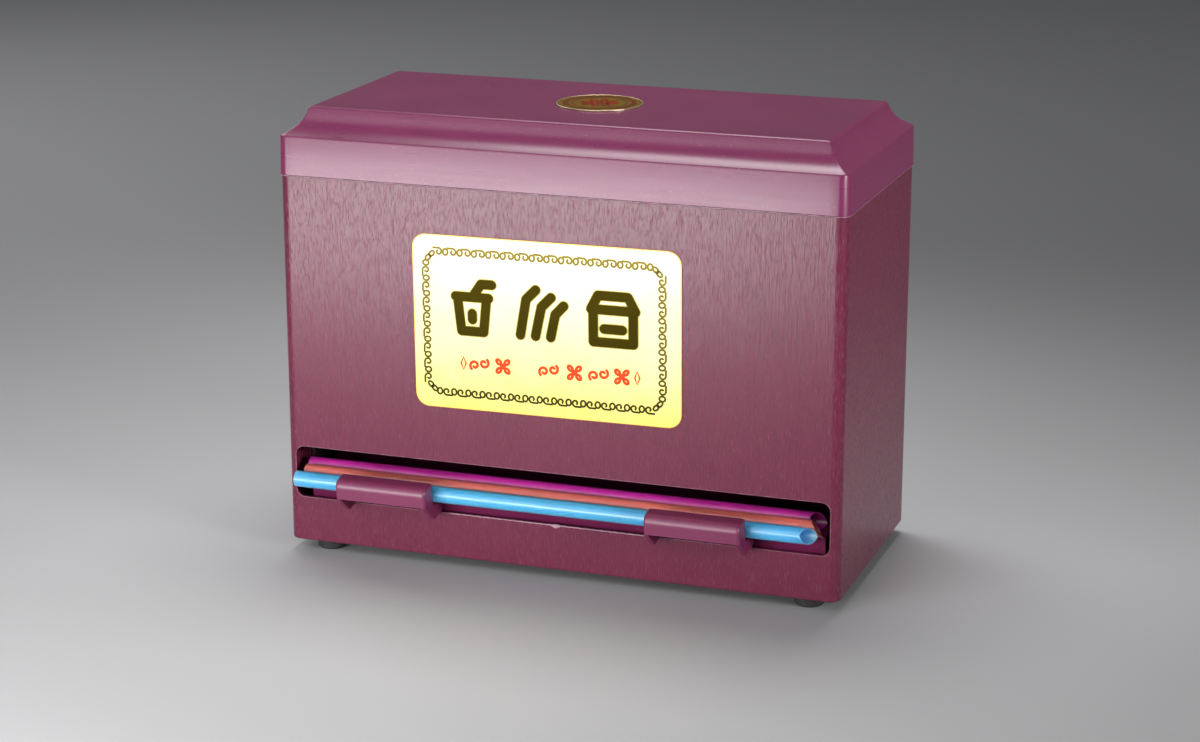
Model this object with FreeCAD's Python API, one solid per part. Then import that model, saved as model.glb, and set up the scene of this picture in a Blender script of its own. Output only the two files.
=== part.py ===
import FreeCAD, Part
import math
import os

from FreeCAD import Placement, Rotation, Vector

# Straw dispenser with a finger lever, in millimetres.
# The pieces are drawn with x = 0 in the middle of the body, y = 0 on its front face with y
# running to the back, and z = 0 on its bottom edge. They are moved to the part's own frame
# when they are written: the middle of the footprint, on the surface that the feet stand on.

# Body: a straight box, open above and below
body_width = 250.4
body_depth = 115.6
body_wall = 2.2
body_corner_radius = 4.6
body_edge_round = 0.8
shoulder_height = 163.7
rim_height = 7.0
rim_root = 5.0
rim_wall = 1.2
rim_inner_radius = 0.5
screw_block = 12.0
screw_block_top = 16.0
screw_block_inset = 26.0

# Slot in the front wall that the straws come out of
slot_bottom = 20.1
slot_height = 23.4
slot_end_margin = 4.0
slot_corner_radius = 4.0

# Lid: a loose cap with a straight band and a hollow moulding above it
lid_proud = 0.6
lid_wall = 2.2
lid_seam = 0.3
lid_rim_clearance = 0.5
lid_band_height = 17.2
lid_draft = 0.6
lid_corner_radius = 4.6
cove_width = 10.2
cove_height = 11.5
cove_hollow = 2.2

# Round badge let into the lid
badge_diameter = 37.6
badge_thickness = 0.9
badge_recess = 0.5
badge_clearance = 0.1
badge_edge_round = 0.27

# Plaque on the front, stuck on a little askew
plaque_width = 119.5
plaque_height = 75.6
plaque_thickness = 0.6
plaque_corner_radius = 6.0
plaque_middle_x = -3.4
plaque_middle_z = 106.3
plaque_tilt = 0.5

# Base plate inside the lower edge of the body
base_thickness = 2.5
base_recess = 1.2
base_clearance = 0.3
base_rib_height = 5.0
base_rib_wall = 1.6
base_rib_inset = 20.0

# Rubber feet
foot_diameter = 14.0
foot_taper = 0.6
foot_round = 0.8
foot_stand = 5.5
foot_inset_x = 15.4
foot_inset_y = 11.5
foot_stem_diameter = 5.0
foot_bulb_diameter = 6.8
foot_bulb_height = 2.4

# Straws
straw_diameter = 7.0
straw_wall = 0.3
straw_length = 235.2
straw_bevel = 8.0
straw_gap = 0.2
straw_left_blue = -118.7
straw_left_orange = -117.1
straw_left_magenta = -118.2
straw_turn_blue = -25.5
straw_turn_orange = -114.5
straw_turn_magenta = -44.5

# Trough: the place of the front straw's middle, and the slope that the straws lie on
trough_y = -5.1
trough_z = 30.0
tray_slope = 9.5

# Lever tray, measured in its own plane: u runs inwards along the slope, w square to it
tray_gap_left = 6.8
tray_gap_right = 3.0
tray_thickness = 2.4
tray_seat = 0.15
tray_reach = 50.0
tray_lip_clearance = 1.0
tray_lip_drop = 1.6
tray_rib_wall = 1.6
tray_rib_short = 0.8
tray_rib_inset = 10.0
tray_rib_spread = 26.0
lever_stop_gap = 0.3

# Finger tabs
tab_width = 41.8
tab_inset_left = 51.7
tab_inset_right = 58.7
tab_wall = 2.0
tab_cheek = 1.8
tab_depth = 8.5
tab_top = 7.5
tab_skirt_bottom = -0.9
tab_front_round = 3.6
tab_side_round = 1.4
tab_back_round = 0.6
tab_straw_gap = 0.6
tab_floor_gap = 0.3
tab_floor_wall = 1.8
tab_point_ahead = 0.3
tab_fit = 0.15
tab_arm_length = 19.0
tab_arm_chamfer = 2.5
tab_pad_wall = 2.2
tab_screw_spread = 11.0

# Axle, bushes and brackets
axle_diameter = 3.5
axle_fit = 0.05
axle_grip = 0.02
axle_end_cover = 1.2
bush_wall = 0.8
bush_fit = 0.02
knuckle_radius = 4.2
knuckle_gap = 0.9
bracket_inset = 44.4
bracket_width = 8.0
bracket_side_gap = 0.5
bracket_foot_spread = 9.0
bracket_flange_width = 22.0
bracket_flange_wall = 3.0
bracket_screw_spread = 7.5
clip_thickness = 0.8
clip_diameter = 7.0
clip_mouth = 2.6
clip_side_gap = 0.2

# Hopper: two end plates, a sloping floor and a sloping front guide
hopper_wall = 1.2
hopper_gap = 0.3
hopper_top_gap = 2.0
hopper_flange = 9.0
hopper_flange_wall = 1.8
hopper_flange_inset = 4.0
hopper_boss_radius = 3.2
hopper_boss_height = 7.0
hopper_screw_inset = 14.0
ramp_wall = 2.0
ramp_slope = 22.0
ramp_gap = 0.8
guide_wall = 1.8
guide_y = 22.0
guide_top = 78.0
guide_wall_gap = 1.0
guide_straw_room = 0.5
guide_cover = 2.2
lug_length = 10.0
lug_inset = 6.0
lug_fit = 0.15

# Self-tapping screws
screw_head_height = 1.6
screw_head_round = 0.64
screw_grip = 0.03
screw_recess = 0.7
base_screw_diameter = 3.0
base_screw_bite = 8.0
small_screw_diameter = 2.5
bracket_screw_bite = 2.6
hopper_screw_bite = 6.0
tab_screw_bite = 1.7
screw_hole_clearance = 0.2
screw_tip_room = 1.0
tab_screw_tip_room = 0.1
screw_head_ratio = 1.9
screw_cross_ratio = 0.6
screw_tip_ratio = 0.3

# How far a cut runs on past the piece it goes through, how deep a rib roots in what it stands
# on, and a length shorter than any real one, for telling edges apart
overrun = 1.0
root_depth = 0.5
hair = 0.01

# Places that follow from the sizes above
half_width = body_width / 2
inner_half = half_width - body_wall
inner_front = body_wall
inner_back = body_depth - body_wall
body_middle_y = body_depth / 2
slot_top = slot_bottom + slot_height
slot_half = half_width - slot_end_margin
tab_left_x = tab_inset_left - half_width
tab_right_x = half_width - tab_inset_right
lid_half = half_width + lid_proud
lid_bottom = shoulder_height + lid_seam
band_top = lid_bottom + lid_band_height
lid_top = band_top + cove_height
rim_inset = lid_wall + lid_rim_clearance - lid_proud
base_bottom = base_recess
base_top = base_bottom + base_thickness
screw_block_bottom = base_top + base_clearance
straw_radius = straw_diameter / 2
straw_pitch = straw_diameter + straw_gap
slope = math.radians(tray_slope)
hopper_inner = inner_half - hopper_gap - hopper_wall
tray_left = tray_gap_left - hopper_inner
tray_right = hopper_inner - tray_gap_right
tray_top_w = -(straw_radius + tray_seat)
tray_under_w = tray_top_w - tray_thickness
axle_radius = axle_diameter / 2
axle_w = tray_top_w - knuckle_radius
hook_front_u = -(straw_radius + tab_straw_gap + tab_depth)
hook_back_u = -(straw_radius + tab_straw_gap)
hook_floor_w = -(straw_radius + tab_floor_gap)


def to_lever(y, z):
    """A point of the body's y and z in the tray's own u and w."""
    dy = y - trough_y
    dz = z - trough_z
    return dy * math.cos(slope) + dz * math.sin(slope), dz * math.cos(slope) - dy * math.sin(slope)


def from_lever(u, w):
    """A point of the tray's own u and w in the body's y and z."""
    y = trough_y + u * math.cos(slope) - w * math.sin(slope)
    z = trough_z + u * math.sin(slope) + w * math.cos(slope)
    return y, z


# The lever's arms rest just above the slot's lower front edge, and the tray's lip hangs
# a little lower just behind the front wall, so that no gap shows under it
lever_low_w = to_lever(0.0, slot_bottom + lever_stop_gap)[1]
lip_front_u = (body_wall + tray_lip_clearance - trough_y + lever_low_w * math.sin(slope)) / math.cos(slope)
lip_back_u = lip_front_u + tray_thickness
lip_low_w = lever_low_w - tray_lip_drop
arm_top_w = tray_under_w - tab_fit
arm_end_u = lip_back_u + tab_arm_length
axle_y, axle_z = from_lever(tray_reach, axle_w)
tab_front_y = from_lever(hook_front_u, tab_top - tab_front_round)[0]

# The part's own frame: the middle of the whole footprint, on the table
origin_y = (tab_front_y + body_depth + lid_proud) / 2
origin_z = -foot_stand
lever_frame = Placement(Vector(0, trough_y, trough_z), Rotation(Vector(1, 0, 0), tray_slope))
pieces = {}


def box(x0, x1, y0, y1, z0, z1):
    return Part.makeBox(x1 - x0, y1 - y0, z1 - z0, Vector(x0, y0, z0))


def rod(radius, x0, x1, y, z):
    return Part.makeCylinder(radius, x1 - x0, Vector(x0, y, z), Vector(1, 0, 0))


def post(radius, x, y, z0, z1):
    return Part.makeCylinder(radius, z1 - z0, Vector(x, y, z0), Vector(0, 0, 1))


def side_prism(points, x0, x1):
    """A straight-sided outline of (y, z) points, drawn out along x."""
    ring = [Vector(x0, y, z) for y, z in points]
    face = Part.Face(Part.makePolygon(ring + ring[:1]))
    return face.extrude(Vector(x1 - x0, 0, 0))


def upright_block(half_x, y0, y1, radius, z0, z1):
    """A box centred on x = 0 whose four upright edges are rounded."""
    block = box(-half_x, half_x, y0, y1, z0, z1)
    upright = [edge for edge in block.Edges if abs(edge.tangentAt(edge.FirstParameter).z) > 0.9]
    return block.makeFillet(radius, upright)


def body_block(inset, radius, z0, z1):
    return upright_block(half_width - inset, inset, body_depth - inset, radius, z0, z1)


def slanted_plate(start, end, wall, x0, x1, side):
    """A flat plate along a (y, z) line, with its thickness on the line's left (1) or right (-1)."""
    run_y = end[0] - start[0]
    run_z = end[1] - start[1]
    length = math.hypot(run_y, run_z)
    off_y = -run_z / length * wall * side
    off_z = run_y / length * wall * side
    far = [(end[0] + off_y, end[1] + off_z), (start[0] + off_y, start[1] + off_z)]
    return side_prism([start, end] + far, x0, x1)


def along(start, end, distance):
    """The point of a (y, z) line that lies this far from its start."""
    share = distance / math.hypot(end[0] - start[0], end[1] - start[1])
    return start[0] + (end[0] - start[0]) * share, start[1] + (end[1] - start[1]) * share


def screw_up(diameter, length, x, y, head_z):
    """A self-tapping screw driven upwards, its head's upper face at head_z."""
    radius = diameter / 2
    head_radius = radius * screw_head_ratio
    head = post(head_radius, x, y, head_z - screw_head_height, head_z)
    rim = [edge for edge in head.Edges if abs(edge.BoundBox.ZMax - head_z + screw_head_height) < hair]
    head = head.makeFillet(screw_head_round, rim)
    shank = post(radius, x, y, head_z, head_z + length - radius)
    tip = Part.makeCone(radius, radius * screw_tip_ratio, radius, Vector(x, y, head_z + length - radius))
    arm = head_radius * screw_cross_ratio
    blade = screw_recess / 2
    low = head_z - screw_head_height
    cross = box(x - arm, x + arm, y - blade, y + blade, low, low + screw_recess)
    cross = cross.fuse(box(x - blade, x + blade, y - arm, y + arm, low, low + screw_recess))
    return head.fuse([shank, tip]).cut(cross)


def keep(name, shape, on_lever=False):
    """Files a finished piece under its name, moved out of the lever's frame if it was drawn there."""
    shape = shape.removeSplitter()
    if on_lever:
        shape = shape.transformed(lever_frame.toMatrix())
    pieces[name] = shape


def base_screw_places():
    """The middles of the four screw blocks, two on the front wall and two on the back wall."""
    half_block = screw_block / 2
    x = half_width - screw_block_inset - half_block
    return [(side * x, y) for side in (-1, 1)
            for y in (inner_front + half_block, inner_back - half_block)]


def foot_places():
    return {
        "foot_front_left": (-(half_width - foot_inset_x), foot_inset_y),
        "foot_front_right": (half_width - foot_inset_x, foot_inset_y),
        "foot_rear_left": (-(half_width - foot_inset_x), body_depth - foot_inset_y),
        "foot_rear_right": (half_width - foot_inset_x, body_depth - foot_inset_y),
    }


def bracket_places():
    x = half_width - bracket_inset
    return {"left": -x, "right": x}


def bracket_screw_places():
    return [(x + side * bracket_screw_spread, axle_y) for x in bracket_places().values()
            for side in (-1, 1)]


# Hopper lines that several pieces share
corner_room = max(body_corner_radius - body_wall, hopper_gap)
side_front = inner_front + corner_room
side_back = inner_back - corner_room
hopper_top = shoulder_height - rim_root - hopper_top_gap
tray_lift = (axle_y - guide_y) * math.sin(slope)
guide_low = from_lever((guide_y - trough_y) / math.cos(slope), tray_top_w)[1]
guide_low += tray_lift + straw_diameter + guide_straw_room
guide_start = (guide_y, guide_low)
guide_end = (inner_front + guide_wall_gap, guide_top)
ramp_start = (axle_y + knuckle_radius + ramp_gap, axle_z + knuckle_radius + hopper_gap)
ramp_rise = math.tan(math.radians(ramp_slope))
ramp_back = inner_back - hopper_gap - ramp_wall * math.sin(math.radians(ramp_slope))
ramp_end = (ramp_back, ramp_start[1] + (ramp_back - ramp_start[0]) * ramp_rise)
flange_back_y = body_depth - foot_inset_y - foot_bulb_diameter / 2 - hopper_flange_inset


def hopper_screw_places():
    """Two screws under each end plate."""
    x = hopper_inner - hopper_flange / 2
    return [(side * x, y) for side in (-1, 1)
            for y in (guide_y + hopper_screw_inset, flange_back_y - hopper_screw_inset)]


def lug_pairs(start, end):
    """Two stretches of a plate's edge, one near each end, that carry its lugs."""
    length = math.hypot(end[0] - start[0], end[1] - start[1])
    first = (along(start, end, lug_inset), along(start, end, lug_inset + lug_length))
    last = (along(start, end, length - lug_inset - lug_length), along(start, end, length - lug_inset))
    return [first, last]


def lug_slots(start, end, wall, side, x0, x1):
    """The holes in an end plate that a sloping plate's lugs go into."""
    slots = []
    for near, far in lug_pairs(start, end):
        length = math.hypot(far[0] - near[0], far[1] - near[1])
        a = along(near, far, -lug_fit)
        b = along(near, far, length + lug_fit)
        slots.append(slanted_plate(a, b, wall + lug_fit, x0, x1, side))
        slots.append(slanted_plate(a, b, lug_fit, x0, x1, -side))
    return slots


def make_body_shell():
    shell = body_block(0.0, body_corner_radius, 0.0, shoulder_height)
    low_edges = [edge for edge in shell.Edges if edge.BoundBox.ZMax < hair]
    shell = shell.makeFillet(body_edge_round, low_edges)
    inner_radius = body_corner_radius - body_wall
    shell = shell.cut(body_block(body_wall, inner_radius, -overrun, shoulder_height + overrun))

    # The rim that the lid drops over, thickened inwards below the shoulder
    rim_bottom = shoulder_height - rim_root
    rim_top = shoulder_height + rim_height
    rim_radius = lid_corner_radius - lid_wall + lid_rim_clearance
    rim = body_block(rim_inset, rim_radius, rim_bottom, rim_top)
    rim = rim.cut(body_block(rim_inset + rim_wall, rim_inner_radius,
                             rim_bottom - overrun, rim_top + overrun))
    shell = shell.fuse(rim)

    # A block for each base screw, low on the front and back walls
    half_block = screw_block / 2
    pilot = base_screw_diameter / 2 + screw_grip
    for x, y in base_screw_places():
        into_wall = math.copysign(body_wall / 2, y - body_middle_y)
        block = box(x - half_block, x + half_block, y - half_block, y + half_block,
                    screw_block_bottom, screw_block_top)
        root = block.copy()
        root.translate(Vector(0, into_wall, 0))
        shell = shell.fuse([block, root])
        shell = shell.cut(post(pilot, x, y, screw_block_bottom - overrun,
                               screw_block_bottom + base_screw_bite))

    slot = box(-slot_half, slot_half, -overrun, body_wall + overrun, slot_bottom, slot_top)
    through = [edge for edge in slot.Edges if abs(edge.tangentAt(edge.FirstParameter).y) > 0.9]
    keep("body_shell", shell.cut(slot.makeFillet(slot_corner_radius, through)))


def lid_form(wall, floor):
    """The lid's outside, or with a wall taken off, its hollow: two moulded bars crossed in a rounded box."""
    crown = lid_top - wall

    def moulding(half):
        """The lid's section across one side: straight band, hollow moulding, flat top."""
        foot = Vector(half, 0, floor)
        brow = Vector(half - lid_draft, 0, band_top - wall)
        ledge = Vector(half - lid_draft - cove_width, 0, crown)
        chord = ledge - brow
        dip = Vector(-chord.z, 0, chord.x) * (cove_hollow / chord.Length)
        belly = (brow + ledge) * 0.5 + dip
        edges = []
        for mirror in (1, -1):
            a, b, c, d = [Vector(mirror * p.x, 0, p.z) for p in (foot, brow, belly, ledge)]
            edges.append(Part.LineSegment(a, b).toShape())
            edges.append(Part.Arc(b, c, d).toShape())
        edges.append(Part.LineSegment(Vector(-ledge.x, 0, crown), ledge).toShape())
        edges.append(Part.LineSegment(Vector(-half, 0, floor), foot).toShape())
        return Part.Face(Part.Wire(Part.__sortEdges__(edges)))

    half_x = lid_half - wall
    half_y = body_middle_y + lid_proud - wall
    long_bar = moulding(half_x)
    long_bar.translate(Vector(0, body_middle_y - half_y, 0))
    long_bar = long_bar.extrude(Vector(0, 2 * half_y, 0))
    cross_bar = moulding(half_y)
    cross_bar.rotate(Vector(0, 0, 0), Vector(0, 0, 1), 90)
    cross_bar.translate(Vector(-half_x, body_middle_y, 0))
    cross_bar = cross_bar.extrude(Vector(2 * half_x, 0, 0))
    rounded = upright_block(half_x, body_middle_y - half_y, body_middle_y + half_y,
                            lid_corner_radius - wall, floor, crown)
    return long_bar.common(cross_bar).common(rounded)


def make_lid():
    lid = lid_form(0.0, lid_bottom).cut(lid_form(lid_wall, lid_bottom - overrun))
    seat_radius = badge_diameter / 2 + badge_clearance
    keep("lid", lid.cut(post(seat_radius, 0, body_middle_y, lid_top - badge_recess, lid_top + overrun)))
    badge = post(badge_diameter / 2, 0, body_middle_y, lid_top - badge_recess,
                 lid_top - badge_recess + badge_thickness)
    top_edge = [edge for edge in badge.Edges if edge.BoundBox.ZMin > lid_top]
    keep("lid_badge", badge.makeFillet(badge_edge_round, top_edge))


def make_plaque():
    half_x = plaque_width / 2
    half_z = plaque_height / 2
    plate = box(-half_x, half_x, -plaque_thickness, 0.0, -half_z, half_z)
    through = [edge for edge in plate.Edges if abs(edge.tangentAt(edge.FirstParameter).y) > 0.9]
    plate = plate.makeFillet(plaque_corner_radius, through)
    plate.rotate(Vector(0, 0, 0), Vector(0, 1, 0), -plaque_tilt)
    plate.translate(Vector(plaque_middle_x, 0, plaque_middle_z))
    keep("front_plaque", plate)


def make_base():
    radius = body_corner_radius - body_wall
    plate = body_block(body_wall + base_clearance, radius, base_bottom, base_top)
    rib_half = hopper_inner - hopper_flange - base_rib_inset
    for y in (base_rib_inset, body_depth - base_rib_inset):
        low_rib = box(-rib_half, rib_half, y - base_rib_wall / 2, y + base_rib_wall / 2,
                      base_top - root_depth, base_top + base_rib_height)
        plate = plate.fuse(low_rib)
    holes = [(x, y, base_screw_diameter) for x, y in base_screw_places()]
    holes += [(x, y, small_screw_diameter) for x, y in bracket_screw_places()]
    holes += [(x, y, small_screw_diameter) for x, y in hopper_screw_places()]
    holes += [(x, y, foot_stem_diameter) for x, y in foot_places().values()]
    for x, y, diameter in holes:
        plate = plate.cut(post(diameter / 2 + screw_hole_clearance, x, y, base_bottom - overrun,
                               base_top + overrun))
    keep("base_plate", plate)


def make_feet():
    """A rubber button with a stem that snaps through the base plate."""
    pad = foot_diameter / 2
    stem = foot_stem_diameter / 2
    bulb = foot_bulb_diameter / 2
    collar = base_top + base_clearance
    outline = [
        (0, -foot_stand), (pad - foot_taper - foot_round, -foot_stand),
        (pad - foot_taper, -foot_stand + foot_round), (pad, base_bottom), (stem, base_bottom),
        (stem, collar), (bulb, collar), (stem, collar + foot_bulb_height), (0, collar + foot_bulb_height),
    ]
    ring = [Vector(r, 0, z) for r, z in outline]
    foot = Part.Face(Part.makePolygon(ring + ring[:1])).revolve(Vector(0, 0, 0), Vector(0, 0, 1), 360)
    for name, (x, y) in foot_places().items():
        placed = foot.copy()
        placed.translate(Vector(x, y, 0))
        keep(name, placed)


def make_hopper():
    """End plates with a foot flange, and the two sloping plates whose lugs hang in them."""
    run = Vector(0, guide_end[0] - guide_start[0], guide_end[1] - guide_start[1])
    ahead = Vector(0, -run.z, run.y) * (-guide_cover / run.Length)
    edge_low = (guide_start[0] - abs(ahead.y), guide_start[1] - abs(ahead.z))
    edge_top_z = edge_low[1] + (edge_low[0] - side_front) * run.z / -run.y
    outline = [
        (edge_low[0], base_top), edge_low, (side_front, edge_top_z), (side_front, hopper_top),
        (side_back, hopper_top), (side_back, base_top),
    ]
    outer = hopper_inner + hopper_wall
    plate = side_prism(outline, hopper_inner, outer)
    flange = box(hopper_inner - hopper_flange, hopper_inner + hopper_wall / 2,
                 edge_low[0] + hopper_flange_inset, flange_back_y,
                 base_top, base_top + hopper_flange_wall)
    plate = plate.fuse(flange)
    right_screws = [(x, y) for x, y in hopper_screw_places() if x > 0]
    for x, y in right_screws:
        plate = plate.fuse(post(hopper_boss_radius, x, y, base_top, base_top + hopper_boss_height))
    pilot = small_screw_diameter / 2 + screw_grip
    for x, y in right_screws:
        plate = plate.cut(post(pilot, x, y, base_top - overrun, base_top + hopper_screw_bite))
    x0 = hopper_inner - overrun
    x1 = outer + overrun
    plate = plate.cut(lug_slots(guide_start, guide_end, guide_wall, -1, x0, x1))
    plate = plate.cut(lug_slots(ramp_start, ramp_end, ramp_wall, -1, x0, x1))
    keep("hopper_side_right", plate)
    keep("hopper_side_left", plate.mirror(Vector(0, 0, 0), Vector(1, 0, 0)))

    plate_half = hopper_inner - hopper_gap
    lug_half = outer - hopper_gap
    for name, start, end, wall in (("front_guide", guide_start, guide_end, guide_wall),
                                   ("hopper_ramp", ramp_start, ramp_end, ramp_wall)):
        sheet = slanted_plate(start, end, wall, -plate_half, plate_half, -1)
        for near, far in lug_pairs(start, end):
            sheet = sheet.fuse(slanted_plate(near, far, wall, -lug_half, lug_half, -1))
        keep(name, sheet)


def make_brackets():
    """Pedestals on the base plate, each with a bush that the axle turns in."""
    bush_radius = axle_radius + axle_fit + bush_wall
    pilot = small_screw_diameter / 2 + screw_grip
    flange_half = bracket_flange_width / 2
    for name, x in bracket_places().items():
        x0 = x - bracket_width / 2
        x1 = x + bracket_width / 2
        outline = [
            (axle_y - knuckle_radius, axle_z), (axle_y - bracket_foot_spread, base_top + root_depth),
            (axle_y + bracket_foot_spread, base_top + root_depth), (axle_y + knuckle_radius, axle_z),
        ]
        pedestal = side_prism(outline, x0, x1).fuse(rod(knuckle_radius, x0, x1, axle_y, axle_z))
        flange = box(x - flange_half, x + flange_half, axle_y - bracket_foot_spread,
                     axle_y + bracket_foot_spread, base_top, base_top + bracket_flange_wall)
        pedestal = pedestal.fuse(flange)
        pedestal = pedestal.cut(rod(bush_radius + bush_fit, x0 - overrun, x1 + overrun, axle_y, axle_z))
        for side in (-1, 1):
            pedestal = pedestal.cut(post(pilot, x + side * bracket_screw_spread, axle_y,
                                         base_top - overrun, base_top + bracket_flange_wall + overrun))
        keep("bracket_" + name, pedestal)
        bush = rod(bush_radius, x0, x1, axle_y, axle_z)
        bore = rod(axle_radius + axle_fit, x0 - overrun, x1 + overrun, axle_y, axle_z)
        keep("bush_" + name, bush.cut(bore))


def make_axle():
    """A steel rod that turns with the tray, held by a spring clip beside each bracket."""
    keep("axle_rod", rod(axle_radius, tray_left + axle_end_cover, tray_right - axle_end_cover,
                         tray_reach, axle_w), on_lever=True)
    clips = []
    for x in bracket_places().values():
        inward = -1 if x > 0 else 1
        face = x + inward * (bracket_width / 2 + clip_side_gap)
        x0, x1 = sorted((face, face + inward * clip_thickness))
        clip = rod(clip_diameter / 2, x0, x1, tray_reach, axle_w)
        clip = clip.cut(rod(axle_radius + axle_grip, x0 - overrun, x1 + overrun, tray_reach, axle_w))
        mouth = box(x0 - overrun, x1 + overrun, tray_reach - clip_mouth / 2, tray_reach + clip_mouth / 2,
                    axle_w - clip_diameter, axle_w)
        clips.append(clip.cut(mouth))
    keep("axle_clips", Part.makeCompound(clips), on_lever=True)


def tab_screw_u():
    """The tab screws' place along the slope: the middle of the tab's pad."""
    return (lip_back_u + tab_fit + arm_end_u) / 2


def tab_screw_places():
    return [x + side * tab_screw_spread for x in (tab_left_x, tab_right_x) for side in (-1, 1)]


def make_tray():
    """The sloping tray: plate, turned-down lip, stiffening ribs and the knuckle along its back."""
    plate = box(tray_left, tray_right, lip_front_u, tray_reach, tray_under_w, tray_top_w)
    lip = box(tray_left, tray_right, lip_front_u, lip_back_u, lip_low_w, tray_top_w)
    tray = plate.fuse([lip, rod(knuckle_radius, tray_left, tray_right, tray_reach, axle_w)])
    tabs_middle = (tab_left_x + tab_right_x) / 2
    for x in (tray_left + tray_rib_inset, tabs_middle - tray_rib_spread,
              tabs_middle + tray_rib_spread, tray_right - tray_rib_inset):
        tray = tray.fuse(box(x - tray_rib_wall / 2, x + tray_rib_wall / 2, lip_back_u - root_depth,
                             tray_reach, lever_low_w + tray_rib_short, tray_under_w + root_depth))
    for x in bracket_places().values():
        inward = -1 if x > 0 else 1
        outer = x - inward * (bracket_width / 2 + bracket_side_gap)
        clip_room = clip_side_gap + clip_thickness + bracket_side_gap
        inner = x + inward * (bracket_width / 2 + clip_room)
        x0, x1 = sorted((outer, inner))
        tray = tray.cut(box(x0, x1, tray_reach - knuckle_radius - knuckle_gap,
                            tray_reach + knuckle_radius + overrun,
                            axle_w - knuckle_radius - overrun, tray_top_w + overrun))
    tray = tray.cut(rod(axle_radius + axle_grip, tray_left - overrun, tray_right + overrun,
                        tray_reach, axle_w))

    # Ways through the lip for the tabs' arms, and blind holes for their screws
    for x in (tab_left_x, tab_right_x):
        for side in (-1, 1):
            inner = x + side * (tab_width / 2 - tab_cheek - tab_fit)
            outer = x + side * (tab_width / 2 + tab_fit)
            x0, x1 = sorted((inner, outer))
            tray = tray.cut(box(x0, x1, lip_front_u - overrun, lip_back_u,
                                lip_low_w - overrun, tray_under_w))
    pilot = small_screw_diameter / 2 + screw_grip
    for x in tab_screw_places():
        tray = tray.cut(post(pilot, x, tab_screw_u(), tray_under_w - overrun,
                             tray_under_w + tab_screw_bite))
    keep("lever_tray", tray, on_lever=True)


def tab_outline(x):
    """A tab seen from its end: hook, pointed cheek, straw seat, and the arm under the tray."""
    top_front = Vector(x, hook_front_u, tab_top - tab_front_round)
    top_bend = Vector(x, hook_front_u + tab_front_round, tab_top)
    bend_part = tab_front_round * (1 - math.sqrt(0.5))
    bend_middle = Vector(x, hook_front_u + bend_part, tab_top - bend_part)
    seat_front = lip_front_u - tab_fit
    corners = [
        top_bend,
        Vector(x, hook_back_u - tab_back_round, tab_top),
        Vector(x, hook_back_u, tab_top - tab_back_round),
        Vector(x, hook_back_u, hook_floor_w + tab_straw_gap),
        Vector(x, hook_back_u + tab_straw_gap, hook_floor_w),
        Vector(x, seat_front, hook_floor_w),
        Vector(x, seat_front, arm_top_w),
        Vector(x, arm_end_u, arm_top_w),
        Vector(x, arm_end_u, lever_low_w + tab_arm_chamfer),
        Vector(x, arm_end_u - tab_arm_chamfer, lever_low_w),
        Vector(x, hook_back_u + tab_point_ahead, lever_low_w),
        Vector(x, hook_front_u, tab_skirt_bottom),
        top_front,
    ]
    edges = [Part.LineSegment(a, b).toShape() for a, b in zip(corners[:-1], corners[1:])]
    edges.append(Part.Arc(top_front, bend_middle, top_bend).toShape())
    return Part.Face(Part.Wire(edges))


def make_tab(name, x):
    """One hollow hook: a solid block of the outline, with all but its walls taken out."""
    x0 = x - tab_width / 2
    x1 = x + tab_width / 2
    block = tab_outline(x0).extrude(Vector(tab_width, 0, 0))
    ends = []
    for edge in block.Edges:
        limits = edge.BoundBox
        on_end = limits.XLength < hair
        on_hook = limits.YMax < hook_back_u - hair and limits.ZMin > tab_skirt_bottom - hair
        if on_end and on_hook:
            ends.append(edge)
    block = block.makeFillet(tab_side_round, ends)
    inner0 = x0 + tab_cheek
    inner1 = x1 - tab_cheek
    below = lever_low_w - overrun
    hollow_top = tab_top - tab_wall
    floor_low = hook_floor_w - tab_floor_wall
    seat_front = lip_front_u - tab_fit
    pad_front = lip_back_u + tab_fit
    pad_low = arm_top_w - tab_pad_wall
    block = block.cut([
        box(inner0, inner1, hook_front_u + tab_wall, hook_back_u + hair, below, hollow_top),
        box(inner0, inner1, hook_front_u - overrun, seat_front + overrun, below, tab_skirt_bottom - hair)
        .cut(box(inner0, inner1, hook_back_u + hair, seat_front + overrun, floor_low, 0.0)),
        box(inner0, inner1, seat_front, pad_front, below, hook_floor_w + overrun),
        box(inner0, inner1, seat_front, arm_end_u + overrun, below, pad_low),
    ])
    for side in (-1, 1):
        block = block.cut(post(small_screw_diameter / 2 + screw_hole_clearance,
                               x + side * tab_screw_spread, tab_screw_u(), below, arm_top_w + overrun))
    keep(name, block, on_lever=True)


def make_straw(name, place, left, turn):
    """A thin tube, cut square at the left and slantwise to a point at the right."""
    right = left + straw_length
    tube = rod(straw_radius, left, right, 0, 0)
    tube = tube.cut(rod(straw_radius - straw_wall, left - overrun, right + overrun, 0, 0))
    reach = straw_radius + overrun
    rise = straw_bevel / straw_diameter * overrun
    wedge = [
        Vector(right - straw_bevel - rise, -reach, -reach),
        Vector(right + rise, reach, -reach),
        Vector(right + rise + overrun, reach, -reach),
        Vector(right + rise + overrun, -reach, -reach),
    ]
    waste = Part.Face(Part.makePolygon(wedge + wedge[:1])).extrude(Vector(0, 0, 2 * reach))
    tube = tube.cut(waste)
    tube.rotate(Vector(0, 0, 0), Vector(1, 0, 0), turn)
    tube.translate(Vector(0, place * straw_pitch, 0))
    keep(name, tube, on_lever=True)


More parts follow.
